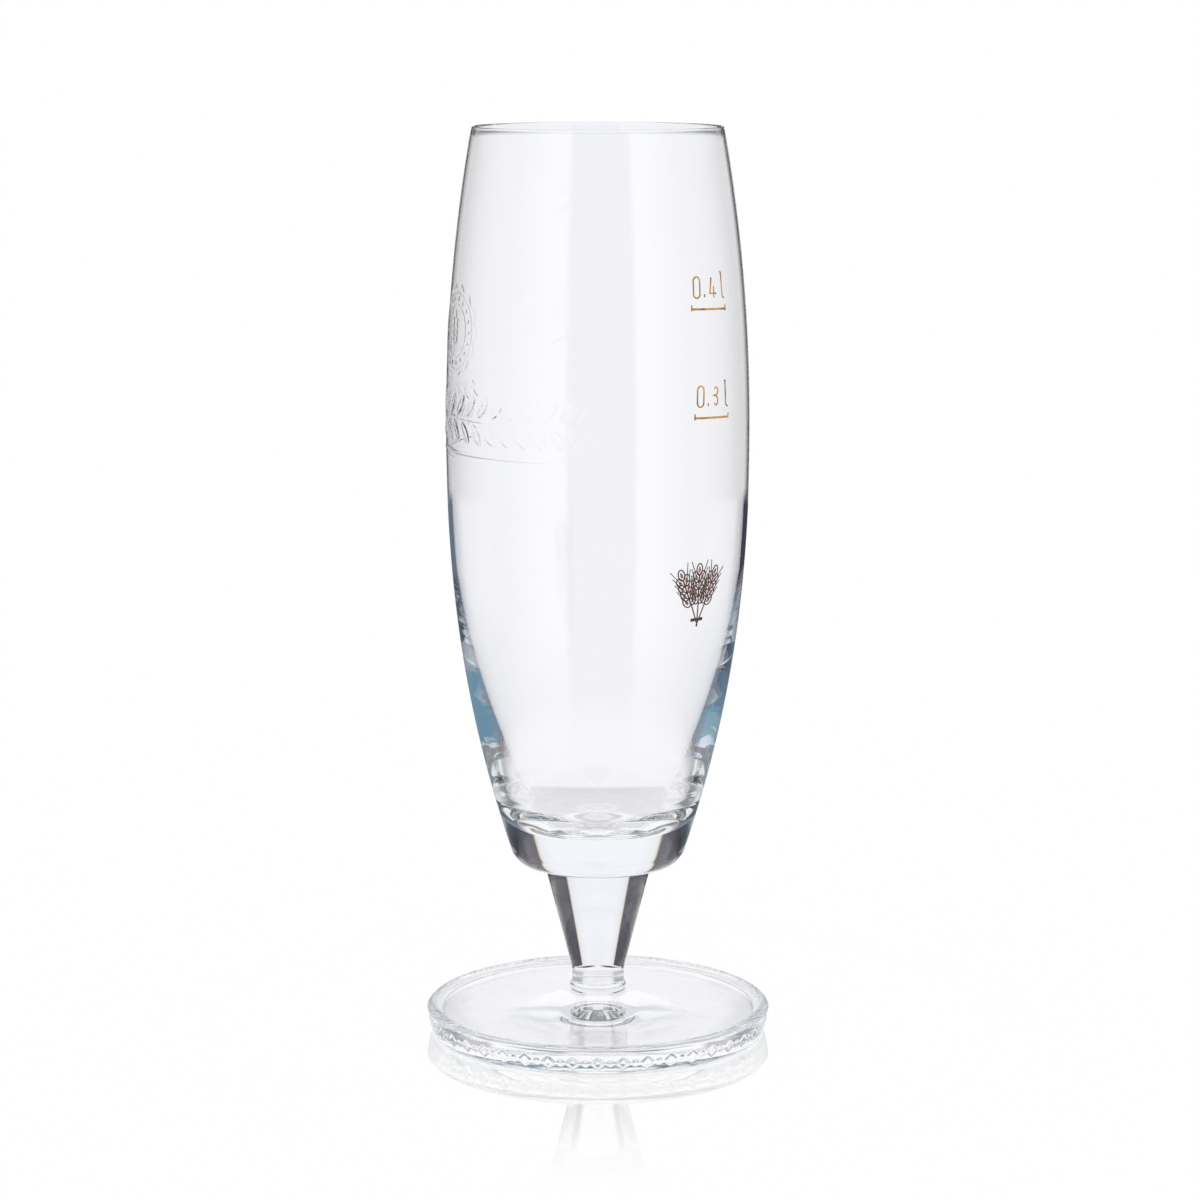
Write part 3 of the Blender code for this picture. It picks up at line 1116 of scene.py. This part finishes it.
def thick_wall(tree, name, place, turn, height, bounces):
    """What a card shows mirrored in the thick wall: two bands, a lit line between them and bright patches."""
    wobble = value_node(tree, "SUBTRACT", noise(tree, place, WOBBLE_SCALE, WOBBLE_DETAIL), 0.5)
    back = value_node(tree, "ADD", bounces, product(tree, wobble, WOBBLE_BACK))
    stops = [(times / MOST_BACK, colour) for times, colour in OUTER_COLOURS[name]]
    outer = ramp_node(tree, value_node(tree, "DIVIDE", back, MOST_BACK), stops)
    level = value_node(tree, "ADD", height, product(tree, wobble, WOBBLE_REACH * MM))
    stops = [(high / CARD_HEIGHT, colour) for high, colour in INNER_COLOURS[name]]
    inner = ramp_node(tree, value_node(tree, "DIVIDE", level, CARD_HEIGHT * MM), stops)
    upper = product(
        tree,
        value_node(tree, "LESS_THAN", bounces, UPPER_BACK),
        value_node(tree, "LESS_THAN", turn, UPPER_TURN),
        value_node(tree, "GREATER_THAN", height, UPPER_LOW * MM),
    )
    inside = greatest(tree, value_node(tree, "LESS_THAN", bounces, BAND_BACK), upper)
    wall = colour_mix(tree, inside, outer, inner)

    line = value_node(tree, "COMPARE", bounces, BAND_BACK, LIT_BACK)
    wall = colour_mix(tree, product(tree, line, LIT_SHARE), wall, WHITE)
    round_by = value_node(tree, "MULTIPLY_ADD", wobble, WOBBLE_TURN, value_node(tree, "DEGREES", turn))
    far = soft_step(tree, round_by, FAR_TURN - FAR_SOFT, FAR_TURN + FAR_SOFT)
    far = product(tree, far, value_node(tree, "GREATER_THAN", bounces, BAND_BACK))
    wall = colour_mix(tree, far, wall, FAR_COLOURS[name])

    beside = soft_step(tree, turn, SIDE_START, SIDE_FULL)
    beside = product(tree, value_node(tree, "LESS_THAN", bounces, SIDE_BACK), beside)
    wall = colour_mix(tree, beside, wall, SIDE_GREY)
    low = soft_step(tree, height, LOW_END * MM, LOW_FULL * MM)
    low = product(tree, value_node(tree, "LESS_THAN", bounces, LOW_BACK), low)
    dark = soft_step(tree, turn, LOW_DARK_START, LOW_DARK_FULL)
    return colour_mix(tree, low, wall, colour_mix(tree, dark, LOW_GREY, LOW_DARK))


def thin_wall(tree, name, share_round, above):
    """What a card shows mirrored in the thin wall, and above it in the rim."""
    stops = [(EDGE_STARTS[name] + by, level) for by, level in EDGE_LEVELS]
    edge = ramp_node(tree, share_round, grey(stops))
    return colour_mix(tree, above, edge, ramp_node(tree, share_round, grey(RIM_LEVELS)))


def card_material(name, kinds):
    """A glowing card that only light from clean glass meets; its colours are painted reflections and painted
    dark edges for the glass.
    """
    material, tree = studio_material(name)
    place, across, ahead, height = coordinates(tree, "Object")
    turn = value_node(tree, "ARCTAN2", value_node(tree, "ABSOLUTE", across), ahead)
    share_round = value_node(tree, "DIVIDE", turn, math.pi)
    light, bounces = glass_light(tree, kinds)
    above = soft_step(tree, height, RIM_LOW * MM, RIM_HIGH * MM)

    # colours
    solid = ramp_node(tree, share_round, [(degrees / 180, colour) for degrees, colour in SOLID_COLOURS])
    thick = thick_wall(tree, name, place, turn, height, bounces)
    edge = thin_wall(tree, name, share_round, above)
    led_far = value_node(tree, "GREATER_THAN", bounces, BAND_BACK)
    led_far = product(tree, led_far, soft_step(tree, height, LED_HIGH * MM, THIN_WALL_HIGH * MM))
    thin = soft_step(tree, height, THIN_WALL_LOW * MM, THIN_WALL_HIGH * MM)
    thin = product(tree, thin, value_node(tree, "SUBTRACT", 1.0, led_far))

    # where they are seen
    low_part = product(
        tree,
        value_node(tree, "LESS_THAN", height, SOLID_HIGH * MM),
        value_node(tree, "GREATER_THAN", height, SOLID_LOW * MM),
        value_node(tree, "GREATER_THAN", turn, SOLID_START),
    )
    tall_part = soft_step(tree, turn, TALL_START, TALL_FULL)
    solid_share = product(tree, light["Straight"], greatest(tree, low_part, tall_part))
    led = value_node(tree, "GREATER_THAN", bounces, LOW_BACK)
    beside = greatest(tree, soft_step(tree, turn, SOFT_START, SOFT_END), led)
    thick_part = product(tree, value_node(tree, "LESS_THAN", height, THIN_WALL_LOW * MM), beside)
    edge_part = value_node(tree, "GREATER_THAN", turn, EDGE_START)
    wall_share = product(tree, light["Mirrored"], greatest(tree, edge_part, above, thick_part, led_far))

    colour = colour_mix(tree, wall_share, solid, colour_mix(tree, thin, thick, edge))
    shown = tree.nodes.new("ShaderNodeEmission")
    feed(tree, shown.inputs["Color"], colour)
    hidden = tree.nodes.new("ShaderNodeBsdfTransparent")
    seen = greatest(tree, solid_share, wall_share)
    card = shader_mix(tree, seen, hidden.outputs["BSDF"], shown.outputs["Emission"])
    feed(tree, tree.nodes["Material Output"].inputs["Surface"], card)
    return material


def side_cards(kinds):
    """Two curved glowing cards beside the glass that paint its dark edges and the colours of its thick wall,
    as painted reflections.
    """
    for name, side in (("glowing_card_right", 1), ("glowing_card_left", -1)):
        shape = bmesh.new()
        edge = [shape.verts.new((0, CARD_RADIUS * MM, height * MM)) for height in (0, CARD_HEIGHT)]
        lines = [shape.edges.new(edge)]
        bmesh.ops.spin(
            shape, geom=edge + lines, axis=(0, 0, 1), angle=-side * CARD_END, steps=CARD_STEPS
        )
        staged(name, shape, card_material(name, kinds))


# Table
TABLE_RADIUS = 650.0
TABLE_STEPS = 96
TABLE_DROP = 0.05
MIRROR_NEAR = 40.0
MIRROR_FAR = 125.0
MIRROR_SHARE = 0.36
MIRROR_BLUR = 0.02
SHADE_SHARE = 0.03
STUDIO_NEAR = 80.0
STUDIO_FAR = 112.0
SHADE_NEAR = 80.0
SHADE_FAR = 250.0
SHADE = (0.06, 0.06, 0.07)
DUSK_NEAR = 250.0
DUSK_FAR = 350.0
DUSK_WIDTH = 90.0
DUSK = (0.05, 0.05, 0.05)

# Painted shade on the table near the glass, seen only through the glass: kind of light, near and far
# distance, and colour
PAINTED_SHADE_UNDER_GLASS = (
    ("Straight", 70.0, 150.0, (0.78, 0.78, 0.82)),
    ("Straight Deep", 82.0, 92.0, (0.72, 0.72, 0.735)),
    ("Mirrored Deep", 15.0, 20.0, (0.70, 0.70, 0.715)),
)


def table(kinds, pattern):
    """A white table, glossy around the glass, that keeps a little of its shade."""
    material, tree = studio_material("white_table")
    place, across, ahead, _ = coordinates(tree, "Object")
    length = tree.nodes.new("ShaderNodeVectorMath")
    length.operation = "LENGTH"
    feed(tree, length.inputs[0], place)
    distance = length.outputs["Value"]

    light, _ = glass_light(tree, kinds)
    colour = WHITE
    # painted shade: the table is greyer near the glass where light from the glass meets it
    for mask, near, far, shade in PAINTED_SHADE_UNDER_GLASS:
        under = product(tree, soft_step(tree, distance, far * MM, near * MM), light[mask])
        colour = colour_mix(tree, under, colour, shade)
    beside = soft_step(tree, value_node(tree, "ABSOLUTE", across), 0.0, DUSK_WIDTH * MM)
    dusk = product(tree, soft_step(tree, distance, DUSK_NEAR * MM, DUSK_FAR * MM), beside)
    colour = colour_mix(tree, product(tree, dusk, light["Straight"]), colour, DUSK)
    mirror_image = placed(tree, pattern, {"Across": across, "Ahead": ahead})["Color"]
    lit = soft_step(tree, distance, SHADE_NEAR * MM, SHADE_FAR * MM)
    mirror_image = colour_mix(tree, lit, SHADE, mirror_image)
    around = product(tree, soft_step(tree, distance, STUDIO_NEAR * MM, STUDIO_FAR * MM), light["Mirrored"])

    glow = tree.nodes.new("ShaderNodeEmission")
    feed(tree, glow.inputs["Color"], colour_mix(tree, around, colour, mirror_image))
    matt = tree.nodes.new("ShaderNodeBsdfDiffuse")
    matt.inputs["Color"].default_value = (*WHITE, 1)
    shaded = shader_mix(tree, SHADE_SHARE, glow.outputs["Emission"], matt.outputs["BSDF"])
    gloss = tree.nodes.new("ShaderNodeBsdfGlossy")
    gloss.inputs["Color"].default_value = (*WHITE, 1)
    gloss.inputs["Roughness"].default_value = MIRROR_BLUR
    polish = soft_step(tree, distance, MIRROR_FAR * MM, MIRROR_NEAR * MM)
    polished = shader_mix(tree, product(tree, polish, MIRROR_SHARE), shaded, gloss.outputs["BSDF"])
    feed(tree, tree.nodes["Material Output"].inputs["Surface"], polished)

    shape = bmesh.new()
    bmesh.ops.create_circle(shape, cap_ends=True, radius=TABLE_RADIUS * MM, segments=TABLE_STEPS)
    bmesh.ops.translate(shape, verts=shape.verts, vec=(0, 0, -TABLE_DROP * MM))
    staged("table", shape, material)


# Camera: focal length in pixels of a 1200 pixel frame, place in metres, tilt below the horizon in radians
IMAGE_WIDTH = 1200
FOCAL_PIXELS = 3453.8
CAMERA_PLACE = (0.0005, -0.83642, 0.2520)
CAMERA_TILT = 0.16989


def camera():
    """The camera, at the viewing angle of the photograph."""
    data = bpy.data.cameras.new("camera")
    data.lens = FOCAL_PIXELS / IMAGE_WIDTH * data.sensor_width
    made = bpy.data.objects.new("camera", data)
    made.location = CAMERA_PLACE
    made.rotation_euler = (math.pi / 2 - CAMERA_TILT, 0, 0)
    bpy.context.scene.collection.objects.link(made)
    bpy.context.scene.camera = made


def glass():
    """The three pieces of glass, in place of the CAD's."""
    fused = fused_face()
    waves = skin_waves()
    blown = clear_glass("blown_glass", waves, wave_scale=60, wave_depth=0.004)
    drawn = clear_glass("drawn_glass", waves, wave_scale=60, wave_depth=0.01)
    pressed = clear_glass("pressed_glass", waves, wave_scale=90, wave_depth=0.06)

    shape = turned(bowl_outline(), TURN_STEPS)
    fuse_faces(shape, BOWL_JOINT, STEM_TOP_RADIUS)
    mould_ornament(shape)
    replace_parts(piece("blown_bowl", shape, [blown, fused]), "bowl")

    shape = turned(stem_outline(), TURN_STEPS)
    fuse_faces(shape, BOWL_JOINT, STEM_TOP_RADIUS)
    fuse_faces(shape, FOOT_JOINT, NECK_RADIUS)
    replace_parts(piece("drawn_stem", shape, [drawn, fused]), "stem")

    shape = turned(foot_outline(), FOOT_STEPS)
    fuse_faces(shape, FOOT_JOINT, NECK_RADIUS)
    mould_foot_edge(shape)
    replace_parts(piece("pressed_foot", shape, [pressed, fused]), "foot")


def marks():
    """The fired marks: two fill marks in gold and a small picture in two browns."""
    patches = fired_patches()
    gold = fired_enamel("gold_lustre", patches, GOLD, metallic=0.5, patch_scale=420)
    umber = fired_enamel("umber_enamel", patches, UMBER, metallic=0.0, patch_scale=900)
    sienna = fired_enamel("sienna_enamel", patches, SIENNA, metallic=0.0, patch_scale=900)
    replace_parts(fill_mark("fill_400", UPPER_MARK_LEVEL, "0,4l", gold), "fill_line_400")
    fill_mark("fill_300", LOWER_MARK_LEVEL, "0,3l", gold)
    sheaf(umber, sienna)


MOST_BOUNCES = 256  # light is led along inside the wall of the bowl, from side to side
bpy.context.scene.view_settings.view_transform = "Standard"
bpy.context.scene.cycles.max_bounces = MOST_BOUNCES
bpy.context.scene.cycles.transmission_bounces = MOST_BOUNCES
bpy.context.scene.cycles.glossy_bounces = MOST_BOUNCES
camera()
kinds_of_light = light_kinds()
surroundings = studio_round()
studio(kinds_of_light, surroundings)
table(kinds_of_light, surroundings)
side_cards(kinds_of_light)
glass()
marks()
